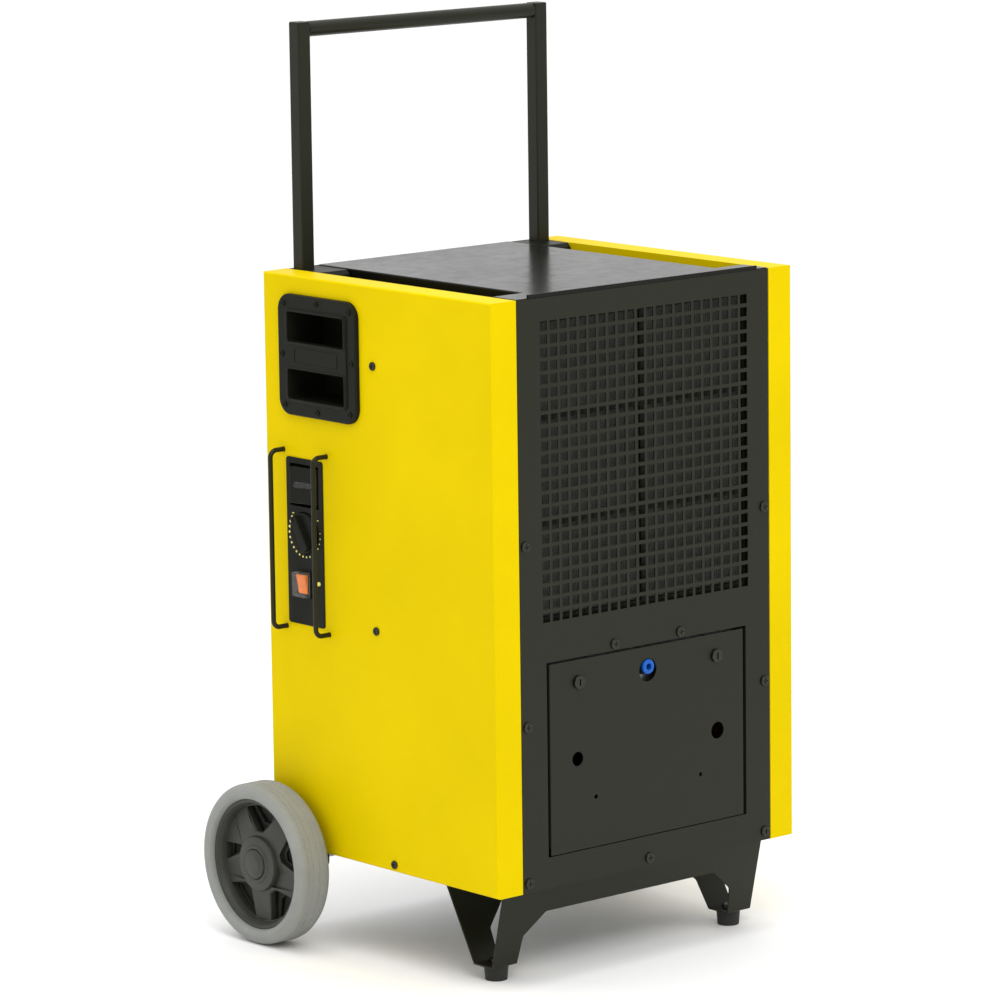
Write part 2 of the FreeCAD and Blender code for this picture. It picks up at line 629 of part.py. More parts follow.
def humidistat_knob():
    x0 = -SIDE - 5.0
    disc = cyl(KNOB_R, 7.0, (x0, KNOB_Y, KNOB_Z), AX)
    disc = disc.makeFillet(1.6, edges_in(disc, lambda b: b.XMax < x0 + 0.01))
    grip = soften(box(x0 - 7, x0 + 1, -KNOB_R + 1.2, KNOB_R - 1.2, -5.5, 5.5), 4.0, AX)
    grip = grip.makeFillet(1.4, edges_in(grip, lambda b: b.XMax < x0 - 6.99))
    notch = box(x0 - 8, x0 - 6.2, KNOB_R - 9, KNOB_R, -0.8, 0.8)
    grip = grip.cut(notch)
    grip.rotate(V(0, 0, 0), AX, 58)
    grip.translate(V(0, KNOB_Y, KNOB_Z))
    flutes = []
    reach = KNOB_R + 0.3
    for i in range(30):
        angle = math.radians(12 * i)
        spot = (x0 - 0.5, KNOB_Y + reach * math.cos(angle), KNOB_Z + reach * math.sin(angle))
        flutes.append(cyl(0.8, 5.0, spot, AX))
    return join([disc, grip]).cut(flutes + [cyl(4.05, 9.0, (x0 + 1, KNOB_Y, KNOB_Z), AX)])


def humidistat_body():
    case = soften(box(-SIDE + 6.3, -SIDE + 22, KNOB_Y - 20, KNOB_Y + 20, KNOB_Z - 20, KNOB_Z + 20), 2.0, AX)
    return join([case, cyl(4.0, 10.0, (-SIDE - 3.4, KNOB_Y, KNOB_Z), AX)])


def switch_housing():
    x0 = -SIDE - 3.2
    frame = soften(box(x0, -SIDE - 1.65, ROCKER_Y - 14, ROCKER_Y + 14, ROCKER_Z - 17, ROCKER_Z + 17), 2.0, AX)
    body = box(x0 + 1, -SIDE + 20, ROCKER_Y - 10.6, ROCKER_Y + 10.6, ROCKER_Z - 14.1, ROCKER_Z + 14.1)
    cavity = box(x0 - 1, -SIDE + 14, ROCKER_Y - 8.6, ROCKER_Y + 8.6, ROCKER_Z - 12.8, ROCKER_Z + 12.8)
    pivot = cyl(PIVOT_R + 0.05, 20.4, (-SIDE - 1, ROCKER_Y - 10.2, ROCKER_Z), AY)
    return join([frame, body]).cut([cavity, pivot])


def power_rocker():
    x = -SIDE
    z = ROCKER_Z
    y0 = ROCKER_Y - 8.2
    outline = [(x + 6, y0, z - 7), (x + 6, y0, z + 7), (x - 1, y0, z + 11.6), (x - 7.6, y0, z + 11.6),
               (x - 5.0, y0, z), (x - 3.4, y0, z - 11.6), (x - 1, y0, z - 11.6)]
    cap = soften(prism(outline, (0, 16.4, 0)), 0.8, AY)
    return join([cap, cyl(PIVOT_R, 19.6, (x - 1, ROCKER_Y - 9.8, z), AY)])


def switch_cap():
    x1 = -SIDE - 3.3
    x0 = x1 - 8.6
    shell = soften(box(x0, x1, ROCKER_Y - 12.6, ROCKER_Y + 12.6, ROCKER_Z - 15.2, ROCKER_Z + 15.2), 2.6, AX)
    shell = shell.makeFillet(1.8, edges_in(shell, lambda b: b.XMax < x0 + 0.01))
    inside = box(x0 + 1.1, x1 + 1, ROCKER_Y - 11.4, ROCKER_Y + 11.4, ROCKER_Z - 14.0, ROCKER_Z + 14.0)
    return shell.cut(inside)


def indicator_lamp():
    dome = Part.makeSphere(2.5, V(-SIDE - 2.2, LAMP_Y, LAMP_Z))
    return join([dome, cyl(2.5, 9.0, (-SIDE - 2.2, LAMP_Y, LAMP_Z), AX)])


def guard_bars():
    bars = []
    for y in GUARD_YS:
        x_in = -SIDE + 9
        x_out = -SIDE - GUARD_OUT
        path = [(x_in, y, GUARD_Z0), (x_out, y, GUARD_Z0), (x_out, y, GUARD_Z1), (x_in, y, GUARD_Z1)]
        bars.append(rod(path, 3.0, 9.0))
    return group(bars)


def guard_bar_nuts():
    nuts = []
    for y in GUARD_YS:
        for z in (GUARD_Z0, GUARD_Z1):
            nut = hex_prism(10.0, 5.0, (-SIDE + SHEET + 0.05, y, z), AX)
            nuts.append(nut.cut(cyl(3.02, 8.0, (-SIDE, y, z), AX)))
    return group(nuts)


# ---- fasteners of the body panels ----
def panel_screws():
    blank = pan_head_screw(6.4, 2.6, 2.4, 8.0)
    short = pan_head_screw(6.4, 2.6, 2.4, 6.0)
    screws = [aimed(blank, (x, FRONT - 0.02, z), -AY) for x, z in FRONT_SCREWS]
    screws += [aimed(short, (x, BACK + 0.02, z), AY) for x, z in REAR_SCREWS]
    small = pan_head_screw(5.2, 2.2, 2.4, 8.0)
    for y, z in SIDE_SCREWS:
        screws += both(aimed(small, (-SIDE - 0.02, y, z), -AX))
    return group(screws)


# ---- air filter, coils and tray ----
def filter_frame():
    z0 = GROUND + 316
    z1 = GROUND + 682
    outer = box(-176, 176, -206, -194, z0, z1)
    parts = [outer.cut(box(-164, 164, -207, -193, z0 + 12, z1 - 4))]
    parts.append(box(-4, 6, -206, -203.2, z0 + 10, z1 - 3))
    for z in (GROUND + 440, GROUND + 566):
        parts.append(box(-166, 166, -206, -203.2, z - 3, z + 3))
    return join(parts)


def filter_mat():
    return box(-163.4, 163.4, -202.8, -195.5, GROUND + 328.6, GROUND + 677.4)


def fin_pack(y_centre, z0, z1):
    fins = []
    for i in range(23):
        holes = []
        for z in COIL_LEVELS:
            for dy in (-11, 11):
                holes.append(Part.Wire([Part.makeCircle(4.9, V(0, y_centre + dy, z), AX)]))
        y0 = y_centre - 22
        y1 = y_centre + 22
        outline = Part.makePolygon([V(0, y0, z0), V(0, y1, z0), V(0, y1, z1), V(0, y0, z1), V(0, y0, z0)])
        fin = Part.makeFace([outline] + holes, "Part::FaceMakerBullseye").extrude(V(0.6, 0, 0))
        fin.translate(V((i - 11) * 14.0 - 0.3, 0, 0))
        fins.append(fin)
    return group(fins)


def coil_plates():
    plate = box(-161.5, -160, -186, -74, 441, 780)
    holes = []
    for z in COIL_LEVELS:
        for y in (EVAP_Y - 11, EVAP_Y + 11, COND_Y - 11, COND_Y + 11):
            holes.append(cyl(4.9, 4, (-163, y, z), AX))
    return group(both(plate.cut(holes)))


def coil_tubes():
    tubes = []
    rows = [(EVAP_Y - 11, 1), (EVAP_Y + 11, 1), (COND_Y - 11, -1), (COND_Y + 11, -1)]
    for y, first_side in rows:
        for z in COIL_LEVELS:
            tubes.append(cyl(4.8, 2 * TUBE_END, (-TUBE_END, y, z), AX))
        for i in range(len(COIL_LEVELS) - 1):
            side = -first_side if i % 2 else first_side
            z = COIL_LEVELS[i]
            disc = Part.Face(Part.Wire([Part.makeCircle(4.8, V(side * TUBE_END, y, z), AX)]))
            tubes.append(disc.revolve(V(side * TUBE_END, y, z + 13), V(0, -side, 0), 180))
    return group(tubes)


def drip_tray():
    outer = box(-170, 170, -187, -66, DECK_Z + 2.3, DECK_Z + 26)
    outer = soften(outer, 5.0, AZ)
    inner = soften(box(-167, 167, -184, -69, DECK_Z + 5.3, DECK_Z + 27), 3.0, AZ)
    spout = cyl(4.3, 16, (0, -150, DECK_Z - 12), AZ)
    return join([outer.cut(inner), spout]).cut(cyl(3.0, 30, (0, -150, DECK_Z - 13), AZ))


# ---- fan ----
def fan_shroud():
    plate = box(-198, 198, 8, 10, DECK_Z + 2.3, SUBDECK_Z - 2)
    collar = ring(FAN_R + 6, FAN_R + 4, 46, (0, 8, FAN_Z), AY)
    arms = []
    for i in range(3):
        arm = box(-6, 6, 60, 64, 46, FAN_R + 5)
        arm = arm.rotate(V(0, 0, 0), AY, 120 * i)
        arms.append(arm.translate(V(0, 0, FAN_Z)))
    holder = ring(52, 45.3, 18, (0, 56, FAN_Z), AY)
    legs = []
    for i in range(3):
        leg = box(-6, 6, 50, 64, FAN_R + 4.2, FAN_R + 5.8)
        leg = leg.rotate(V(0, 0, 0), AY, 120 * i)
        legs.append(leg.translate(V(0, 0, FAN_Z)))
    return join([plate.cut(cyl(FAN_R + 4, 10, (0, 4, FAN_Z), AY)), collar, holder] + arms + legs)


def fan_motor():
    shell = cyl(45.0, 70.0, (0, 56.5, FAN_Z), AY)
    rims = edges_in(shell, lambda b: b.YMin > 126.49 or b.YMax < 56.51)
    shell = shell.makeFillet(5.0, rims)
    return shell.cut(cyl(5.1, 40.0, (0, 50, FAN_Z), AY))


def fan_impeller():
    hub = cyl(42.0, 34.0, (0, 14, FAN_Z), AY)
    hub = hub.makeFillet(5.0, edges_in(hub, lambda b: b.YMax < 14.01))
    shaft = cyl(5.0, 40.0, (0, 46, FAN_Z), AY)
    blades = []
    section = [(-30, 16, 38), (-26, 14.5, 38), (30, 44, 38), (30, 46.5, 38), (26, 47, 38)]
    for i in range(6):
        blade = prism(section, (0, 0, FAN_R)).common(cyl(FAN_R, 60, (0, 0, 0), AY))
        blade.rotate(V(0, 0, 0), AY, 60 * i)
        blade.translate(V(0, 0, FAN_Z))
        blades.append(blade)
    return join([hub, shaft] + blades)


# ---- refrigeration and electrics in the lower bay ----
def compressor_feet():
    angles = [math.radians(a) for a in (30, 150, 270)]
    return [(70 + 88 * math.cos(a), 70 + 88 * math.sin(a)) for a in angles]


def compressor():
    shell = cyl(78.0, 238.0, (70, 70, 141), AZ)
    shell = shell.makeFillet(34.0, edges_in(shell, lambda b: b.ZMax - b.ZMin < 0.01))
    feet = [cyl(18, 4, (x, y, 139), AZ) for x, y in compressor_feet()]
    base = join([cyl(74, 4, (70, 70, 139), AZ)] + feet)
    stubs = [cyl(6.5, 10, (70, y, 376), AZ) for y in (60, 96)]
    terminal = box(130, 158, 52, 88, 220, 290)
    body = join([shell, base, soften(terminal, 3, AX)] + stubs)
    hollow = cyl(66.0, 206.0, (70, 70, 157), AZ)
    hollow = hollow.makeFillet(24.0, edges_in(hollow, lambda b: b.ZMax - b.ZMin < 0.01))
    holes = [hollow]
    holes += [cyl(4.3, 10, (x, y, 136), AZ) for x, y in compressor_feet()]
    holes += [cyl(4.2, 20, (70, y, 372), AZ) for y in (60, 96)]
    return body.cut(holes)


def compressor_mounts():
    mounts = []
    for x, y in compressor_feet():
        mounts.append(ring(13.0, 4.3, 19.3, (x, y, GROUND + 2.1), AZ))
    return group(mounts)


def refrigerant_pipes():
    top = COIL_LEVELS[-1]
    low = COIL_LEVELS[0]
    discharge = [(70, 60, 386.4), (70, 60, 398), (190, 60, 398), (190, -30, 398), (190, -30, top),
                 (190, COND_Y + 11, top), (TUBE_END, COND_Y + 11, top)]
    suction = [(70, 96, 386.4), (70, 96, 400), (-190, 96, 400), (-190, -30, 400), (-190, -30, low),
               (-190, EVAP_Y + 11, low), (-TUBE_END, EVAP_Y + 11, low)]
    return group([rod(discharge, 4.1, 8.0), rod(suction, 4.1, 8.0)])


def electrical_box():
    outer = soften(box(-190, -125, 95, 170, 150, 340), 3.0, AX)
    seam = box(-191, -124, 94.0, 171, 334, 334.8).cut(box(-189, -126, 96, 169, 333, 336))
    foot = box(-190, -125, 95, 99, GROUND + 2.3, 152)
    return join([outer, foot]).cut([seam, box(-188, -127, 97, 168, 152, 331)])


def cable_gland():
    x = 140.0
    z = GROUND + 150.0
    flange = hex_prism(24.0, 6.0, (x, BACK + 0.05, z), AY)
    dome = cyl(10.8, 14.0, (x, BACK + 6.0, z), AY)
    dome = dome.makeFillet(3.0, edges_in(dome, lambda b: b.YMin > BACK + 19.99))
    neck = cyl(10.0, 12.0, (x, BACK - 11.0, z), AY)
    nut = hex_prism(24.0, 4.0, (x, BACK - 5.6, z), AY)
    return join([flange, dome, neck, nut]).cut(cyl(5.0, 40.0, (x, BACK - 15, z), AY))


nodes = {
    "base_tray": base_tray(),
    "side_panel_left": side_panel(True),
    "side_panel_right": mirror_x(side_panel(False)),
    "front_panel": front_panel(),
    "rear_panel": rear_panel(),
    "top_frame": top_frame(),
    "top_lid": top_lid(),
    "machine_deck": machine_deck(),
    "service_hatch": service_hatch(),
    "hatch_fastener_left": quarter_turn(-1),
    "hatch_fastener_right": quarter_turn(1),
    "hatch_receiver": hatch_receiver(),
    "drain_connector": drain_connector(),
    "drain_release_collar": release_collar(),
    "drain_hose": drain_hose(),
    "handle_frame": handle_frame(),
    "handle_grip": handle_grip(),
    "handle_sockets": handle_sockets(),
    "handle_guide_blocks": guide_blocks(),
    "axle": axle(),
    "axle_brackets": axle_brackets(),
    "axle_spacers": axle_spacers(),
    "hub_caps": hub_caps(),
    "tire_left": tire(),
    "tire_right": mirror_x(tire()),
    "wheel_rim_left": wheel_rim(),
    "wheel_rim_right": mirror_x(wheel_rim()),
    "front_stand": front_stand(),
    "foot_pads": foot_pads(),
    "frame_bolts": frame_bolts(),
    "carry_handle_left": carry_handle(),
    "carry_handle_right": mirror_x(carry_handle()),
    "carry_handle_screws": carry_handle_screws(),
    "control_plate": control_plate(),
    "hours_counter": hours_counter(),
    "counter_window": counter_window(),
    "humidistat_knob": humidistat_knob(),
    "humidistat_body": humidistat_body(),
    "switch_housing": switch_housing(),
    "power_rocker": power_rocker(),
    "switch_cap": switch_cap(),
    "indicator_lamp": indicator_lamp(),
    "guard_bars": guard_bars(),
    "guard_bar_nuts": guard_bar_nuts(),
    "panel_screws": panel_screws(),
    "filter_frame": filter_frame(),
    "filter_mat": filter_mat(),
    "evaporator_fins": fin_pack(EVAP_Y, 452, 774),
    "condenser_fins": fin_pack(COND_Y, 452, 774),
    "coil_plates": coil_plates(),
    "coil_tubes": coil_tubes(),
    "drip_tray": drip_tray(),
    "fan_shroud": fan_shroud(),
    "fan_motor": fan_motor(),
    "fan_impeller": fan_impeller(),
    "compressor": compressor(),
    "compressor_mounts": compressor_mounts(),
    "refrigerant_pipes": refrigerant_pipes(),
    "electrical_box": electrical_box(),
    "cable_gland": cable_gland(),
}

os.makedirs("parts", exist_ok=True)
for name, shape in nodes.items():
    placed = shape.copy()
    placed.translate(SHIFT)
    placed.exportStep("parts/" + name + ".step")
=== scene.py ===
import json
import math

import bmesh
import bpy
from mathutils import Matrix, Vector


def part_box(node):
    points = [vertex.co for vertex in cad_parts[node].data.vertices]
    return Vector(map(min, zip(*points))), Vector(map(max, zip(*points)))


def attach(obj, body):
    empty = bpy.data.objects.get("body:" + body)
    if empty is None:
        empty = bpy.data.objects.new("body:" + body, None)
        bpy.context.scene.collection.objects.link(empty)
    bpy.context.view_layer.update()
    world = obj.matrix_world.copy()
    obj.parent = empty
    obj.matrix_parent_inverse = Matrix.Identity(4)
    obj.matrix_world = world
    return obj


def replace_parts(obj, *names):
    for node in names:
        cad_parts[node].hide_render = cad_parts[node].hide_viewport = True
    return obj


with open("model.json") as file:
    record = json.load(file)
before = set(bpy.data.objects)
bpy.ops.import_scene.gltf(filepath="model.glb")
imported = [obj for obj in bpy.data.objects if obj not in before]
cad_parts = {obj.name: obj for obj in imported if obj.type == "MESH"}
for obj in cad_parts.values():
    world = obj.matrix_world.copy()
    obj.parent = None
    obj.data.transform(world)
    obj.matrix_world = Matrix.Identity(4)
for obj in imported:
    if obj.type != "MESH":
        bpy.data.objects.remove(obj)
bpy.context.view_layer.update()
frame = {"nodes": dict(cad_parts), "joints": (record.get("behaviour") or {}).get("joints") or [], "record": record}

MM = 0.001
BASE = "cabinet"
JOINTS = {joint["name"]: joint for joint in frame["joints"]}

# ---- camera, as seen from the front left ----
CAMERA_AT = Vector((-4.2034, -4.8374, 1.6556))
CAMERA_AZIMUTH = math.radians(40.833)
CAMERA_ELEVATION = math.radians(9.907)
CAMERA_ROLL = math.radians(-0.751)
CAMERA_LENS = 190.54
CAMERA_SHIFT_X = 0.0028
SENSOR_WIDTH = 36.0
VIEW_REACH = 200.0

# ---- studio ----
FLOOR_REACH = 60.0
LIGHTS_AIM = (0, 0, 0.4)
DOME_BRIGHT_TOWARDS = (0.25, 0.32, 0.91)
DOME_DIM = 0.10
DOME_BRIGHT = 1.30


# =====================================================================================
# materials
# =====================================================================================
def srgb(red, green, blue):
    """A colour given as 0-255 screen values, in linear light."""
    def linear(value):
        value = value / 255
        return value / 12.92 if value <= 0.04045 else ((value + 0.055) / 1.055) ** 2.4
    return (linear(red), linear(green), linear(blue), 1.0)


def shade(colour, factor):
    """The colour made darker or lighter by factor."""
    return tuple(min(1.0, channel * factor) for channel in colour[:3]) + (1.0,)


class Look:
    """One material and short ways to wire its nodes. Texture space is metres in the row frame."""

    def __init__(self, name, colour=(0.8, 0.8, 0.8, 1.0), roughness=0.5, **sockets):
        self.material = bpy.data.materials.new(name)
        self.material.use_nodes = True
        self.tree = self.material.node_tree
        self.shader = self.tree.nodes["Principled BSDF"]
        self.place = self.node("TexCoord").outputs["Object"]
        self.feed(self.shader.inputs["Base Color"], colour)
        self.feed(self.shader.inputs["Roughness"], roughness)
        for label, value in sockets.items():
            self.feed(self.shader.inputs[label.replace("_", " ")], value)

    def feed(self, socket, value):
        if isinstance(value, bpy.types.NodeSocket):
            self.tree.links.new(value, socket)
        else:
            socket.default_value = value

    def node(self, kind, inputs=None, **settings):
        made = self.tree.nodes.new("ShaderNode" + kind)
        for key, value in settings.items():
            setattr(made, key, value)
        for key, value in (inputs or {}).items():
            self.feed(made.inputs[key], value)
        return made

    def stretched(self, scale):
        return self.node("Mapping", {"Vector": self.place, "Scale": scale}).outputs[0]

    def noise(self, size, detail=3.0, roughness=0.55, space=None):
        """Noise with features about size metres wide."""
        made = self.node("TexNoise", {"Vector": space or self.place, "Scale": 1 / size,
                                      "Detail": detail, "Roughness": roughness})
        return made.outputs["Fac"]

    def cells(self, size):
        """Soft pebbles about size metres wide."""
        made = self.node("TexVoronoi", {"Vector": self.place, "Scale": 1 / size}, feature="SMOOTH_F1")
        return made.outputs["Distance"]

    def levels(self, value, low, high, to_low=0.0, to_high=1.0):
        """Stretches low..high to to_low..to_high and holds it there outside."""
        made = self.node("MapRange", {"Value": value, "From Min": low, "From Max": high,
                                      "To Min": to_low, "To Max": to_high})
        return made.outputs["Result"]

    def maths(self, operation, a, b=0.0):
        return self.node("Math", {0: a, 1: b}, operation=operation).outputs[0]

    def mix(self, share, low, high):
        made = self.node("Mix", {0: share, 6: low, 7: high}, data_type="RGBA")
        return made.outputs[2]

    def edges(self, radius):
        """0 on flat faces, rising to 1 on convex and concave corners."""
        rounded = self.node("Bevel", {"Radius": radius}, samples=4).outputs["Normal"]
        flat = self.node("NewGeometry").outputs["Normal"]
        same = self.node("VectorMath", {0: rounded, 1: flat}, operation="DOT_PRODUCT").outputs["Value"]
        return self.levels(same, 0.99, 0.80)

    def bump(self, *layers, soften=0.0):
        """Stacks (height, distance) layers. soften rounds hard edges by that radius."""
        normal = None
        if soften:
            normal = self.node("Bevel", {"Radius": soften}, samples=4).outputs["Normal"]
        for height, distance in layers:
            made = self.node("Bump", {"Height": height, "Distance": distance, "Strength": 1.0})
            if normal:
                self.feed(made.inputs["Normal"], normal)
            normal = made.outputs["Normal"]
        self.feed(self.shader.inputs["Normal"], normal)

    def colour(self, value):
        self.feed(self.shader.inputs["Base Color"], value)

    def rough(self, value):
        self.feed(self.shader.inputs["Roughness"], value)


def powder_coat(name, colour, roughness, worn, gloss, peel=0.00003):
    """Baked powder paint: orange peel, faint clouding, and thin wear along its folds."""
    look = Look(name, colour, roughness, Specular_IOR_Level=gloss)
    clouds = look.noise(0.22, 4.0)
    specks = look.noise(0.0016, 2.0)
    tone = look.mix(look.levels(clouds, 0.35, 0.65), shade(colour, 0.955), shade(colour, 1.03))
    tone = look.mix(look.levels(specks, 0.60, 0.72, 0.0, 0.16), tone, shade(colour, 1.25))
    patches = look.levels(look.noise(0.006, 5.0, 0.7), 0.56, 0.66)
    chips = look.maths("MULTIPLY", look.edges(0.0011), patches)
    look.colour(look.mix(look.maths("MULTIPLY", chips, 0.35), tone, worn))
    scuffs = look.noise(0.02, 6.0, 0.7, look.stretched((1.0, 1.0, 0.25)))
    handled = look.maths("ADD", clouds, scuffs)
    look.rough(look.levels(handled, 0.7, 1.3, roughness - 0.05, roughness + 0.06))
    look.bump((look.noise(0.0022, 2.0), peel), (look.noise(0.0006, 1.0), peel * 0.35), soften=0.0004)
    return look


def moulded_plastic(name, colour, roughness, grain=0.0009, depth=0.00005, gloss=0.35):
    """Black or grey plastic with a fine leathery mould grain."""
    look = Look(name, colour, roughness, Specular_IOR_Level=gloss)
    cells = look.cells(grain)
    cloud = look.noise(0.05, 4.0)
    tone = look.mix(look.levels(cloud, 0.35, 0.65), shade(colour, 0.88), shade(colour, 1.12))
    rubbed = look.maths("MULTIPLY", look.edges(0.0009), look.levels(look.noise(0.008, 4.0), 0.45, 0.6))
    look.colour(look.mix(look.maths("MULTIPLY", rubbed, 0.35), tone, shade(colour, 2.6)))
    look.rough(look.levels(cloud, 0.3, 0.7, roughness - 0.06, roughness + 0.06))
    look.bump((cells, depth), (look.noise(0.0025, 3.0), depth * 0.6), soften=0.0003)
    return look


RING_PITCH = 0.0011
TREAD_FROM = 0.0975
TREAD_FULL = 0.0999


def grey_rubber():
    """Solid tyre rubber with fine moulding rings round the axle and a dusty tread."""
    colour = srgb(140, 142, 138)
    look = Look("solid_tyre_rubber", colour, 0.72)
    hub = Vector(JOINTS["wheel_left_spin"]["pos_m"])
    flat = look.node("VectorMath", {0: look.place, 1: (0.0, -hub.y, -hub.z)}, operation="ADD").outputs[0]
    flat = look.node("VectorMath", {0: flat, 1: (0.0, 1.0, 1.0)}, operation="MULTIPLY").outputs[0]
    radius = look.node("VectorMath", {0: flat}, operation="LENGTH").outputs["Value"]
    rings = look.maths("SINE", look.maths("MULTIPLY", radius, 2 * math.pi / RING_PITCH))
    cloud = look.noise(0.03, 5.0, 0.65)
    dust = look.noise(0.004, 5.0, 0.7)
    tone = look.mix(look.levels(cloud, 0.35, 0.65), shade(colour, 0.94), shade(colour, 1.04))
    tread = look.levels(radius, TREAD_FROM, TREAD_FULL)
    scuffed = look.maths("MULTIPLY", tread, look.levels(dust, 0.45, 0.62, 0.0, 0.2))
    look.colour(look.mix(scuffed, tone, shade(colour, 0.74)))
    look.rough(look.levels(dust, 0.3, 0.7, 0.62, 0.82))
    look.bump((rings, 0.000025), (look.noise(0.0012, 3.0), 0.00006), soften=0.0006)
    return look


def plated_steel(name, colour, roughness, spangle=0.0):
    """Zinc-plated or galvanised steel, with crystal flowers where spangle gives their size."""
    look = Look(name, colour, roughness, Metallic=1.0)
    streaks = look.noise(0.004, 4.0, 0.6, look.stretched((1.0, 1.0, 0.06)))
    tone = look.mix(look.levels(streaks, 0.3, 0.7), shade(colour, 0.82), shade(colour, 1.08))
    if spangle:
        flowers = look.node("TexVoronoi", {"Vector": look.place, "Scale": 1 / spangle}).outputs["Color"]
        value = look.node("SeparateColor", {0: flowers}).outputs[0]
        tone = look.mix(look.levels(value, 0.0, 1.0, 0.0, 0.45), tone, shade(colour, 0.62))
        look.rough(look.levels(value, 0.0, 1.0, roughness - 0.07, roughness + 0.12))
    else:
        look.rough(look.levels(streaks, 0.3, 0.7, roughness - 0.08, roughness + 0.08))
    look.colour(tone)
    look.bump((streaks, 0.00002), soften=0.0003)
    return look


def bright_plastic(name, colour, roughness, glow=0.0):
    """Coloured translucent button plastic. glow is how strongly a lamp behind it shows."""
    look = Look(name, colour, roughness, Specular_IOR_Level=0.3)
    swirl = look.noise(0.006, 3.0)
    tone = look.mix(look.levels(swirl, 0.35, 0.65), shade(colour, 0.86), shade(colour, 1.06))
    look.colour(tone)
    look.feed(look.shader.inputs["Emission Color"], tone)
    look.feed(look.shader.inputs["Emission Strength"], glow)
    look.bump((look.noise(0.0008, 2.0), 0.00002), soften=0.0004)
    return look


def clear_plastic(name, colour, roughness, bending=1.49):
    look = Look(name, colour, roughness, Transmission_Weight=0.97, IOR=bending)
    haze = look.noise(0.004, 4.0, 0.7)
    look.rough(look.levels(haze, 0.35, 0.7, roughness, roughness + 0.10))
    look.bump((haze, 0.00002))
    return look


def copper_tube():
    colour = srgb(196, 120, 84)
    look = Look("copper_tube", colour, 0.3, Metallic=1.0)
    tarnish = look.noise(0.018, 5.0, 0.65)
    look.colour(look.mix(look.levels(tarnish, 0.42, 0.7), colour, srgb(104, 66, 48)))
    look.rough(look.levels(tarnish, 0.3, 0.7, 0.22, 0.5))
    look.bump((look.noise(0.002, 3.0), 0.00003))
    return look


def floor_look():
    look = Look("pale_floor", (0.97, 0.97, 0.97, 1.0), 0.75)
    look.rough(look.levels(look.noise(0.3, 3.0), 0.3, 0.7, 0.72, 0.8))
    return look


LOOKS = {
    "yellow_paint": powder_coat("yellow_powder_coat", srgb(222, 195, 0), 0.42, srgb(196, 168, 30), 0.02),
    "black_paint": powder_coat("black_powder_coat", srgb(31, 32, 20), 0.36, srgb(74, 74, 68), 0.20),
    "lid_paint": powder_coat("smooth_black_lid_coat", srgb(19, 20, 16), 0.22, srgb(70, 70, 66), 0.16,
                             peel=0.000006),
    "zinc_steel": plated_steel("galvanised_steel", srgb(186, 190, 192), 0.36, spangle=0.009),
    "screw_steel": plated_steel("blackened_screw_steel", srgb(62, 62, 57), 0.36),
    "grey_rubber": grey_rubber(),
    "black_rubber": moulded_plastic("black_rubber", srgb(38, 38, 36), 0.66, 0.0013, 0.00007),
    "rim_plastic": moulded_plastic("rim_nylon", srgb(56, 57, 52), 0.48, 0.0011, 0.00004),
    "black_plastic": moulded_plastic("black_abs", srgb(22, 24, 17), 0.42, gloss=0.11),
    "orange_plastic": bright_plastic("orange_rocker_plastic", srgb(244, 124, 0), 0.34, 0.06),
    "blue_plastic": bright_plastic("blue_collar_plastic", srgb(0, 84, 178), 0.34, 0.0),
    "clear_cover": clear_plastic("clear_splash_cover", (0.98, 0.98, 0.98, 1.0), 0.02, 1.12),
    "clear_window": clear_plastic("clear_counter_window", (0.42, 0.44, 0.42, 1.0), 0.05, 1.3),
    "lamp_lens": bright_plastic("lamp_lens", srgb(232, 220, 120), 0.3, 0.10),
    "aluminium_fin": plated_steel("aluminium_fin", srgb(196, 198, 200), 0.32),
    "copper": copper_tube(),
    "filter_fibre": moulded_plastic("filter_net", srgb(58, 59, 54), 0.55, 0.002, 0.00002),
    "clear_hose": clear_plastic("clear_hose", (0.85, 0.87, 0.84, 1.0), 0.16),
}


def paint(piece, look):
    if not piece.material_slots:
        piece.data.materials.append(look.material)
    for slot in piece.material_slots:
        slot.material = look.material


for subpart in frame["record"]["subparts"]:
    paint(frame["nodes"][subpart["node"]], LOOKS[subpart["material_slot"]])
# the galvanised frame under the lid shows as the floor of the side troughs; it gets the black paint look as
# painted shade, so the troughs read dark
paint(frame["nodes"]["top_frame"], LOOKS["black_paint"])


# =====================================================================================
# mesh helpers
# =====================================================================================
SHARP_ANGLE = math.radians(32)


def finish_mesh(name, mesh, slot, body):
    """Links a mesh as a named piece, smooth but for its sharp edges, painted, riding on body."""
    shaped = bmesh.new()
    shaped.from_mesh(mesh)
    bmesh.ops.remove_doubles(shaped, verts=shaped.verts, dist=1e-7)
    bmesh.ops.recalc_face_normals(shaped, faces=shaped.faces)
    for face in shaped.faces:
        face.smooth = True
    for edge in shaped.edges:
        edge.smooth = len(edge.link_faces) == 2 and edge.calc_face_angle(0) < SHARP_ANGLE
    shaped.to_mesh(mesh)
    shaped.free()
    piece = bpy.data.objects.new(name, mesh)
    bpy.context.scene.collection.objects.link(piece)
    paint(piece, LOOKS[slot])
    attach(piece, body)
    return piece


def lathe(profile, centre, turn_axis, steps):
    """Revolves a closed (along, radius) outline about an axis. Returns verts and faces."""
    along = Vector(turn_axis)
    side = along.orthogonal().normalized()
    other = along.cross(side)
    verts = []
    for step in range(steps):
        angle = 2 * math.pi * step / steps
        out = side * math.cos(angle) + other * math.sin(angle)
        verts += [centre + along * a + out * r for a, r in profile]
    count = len(profile)
    faces = []
    for step in range(steps):
        here = step * count
        ahead = (step + 1) % steps * count
        for i in range(count):
            j = (i + 1) % count
            faces.append((here + i, here + j, ahead + j, ahead + i))
    return verts, faces


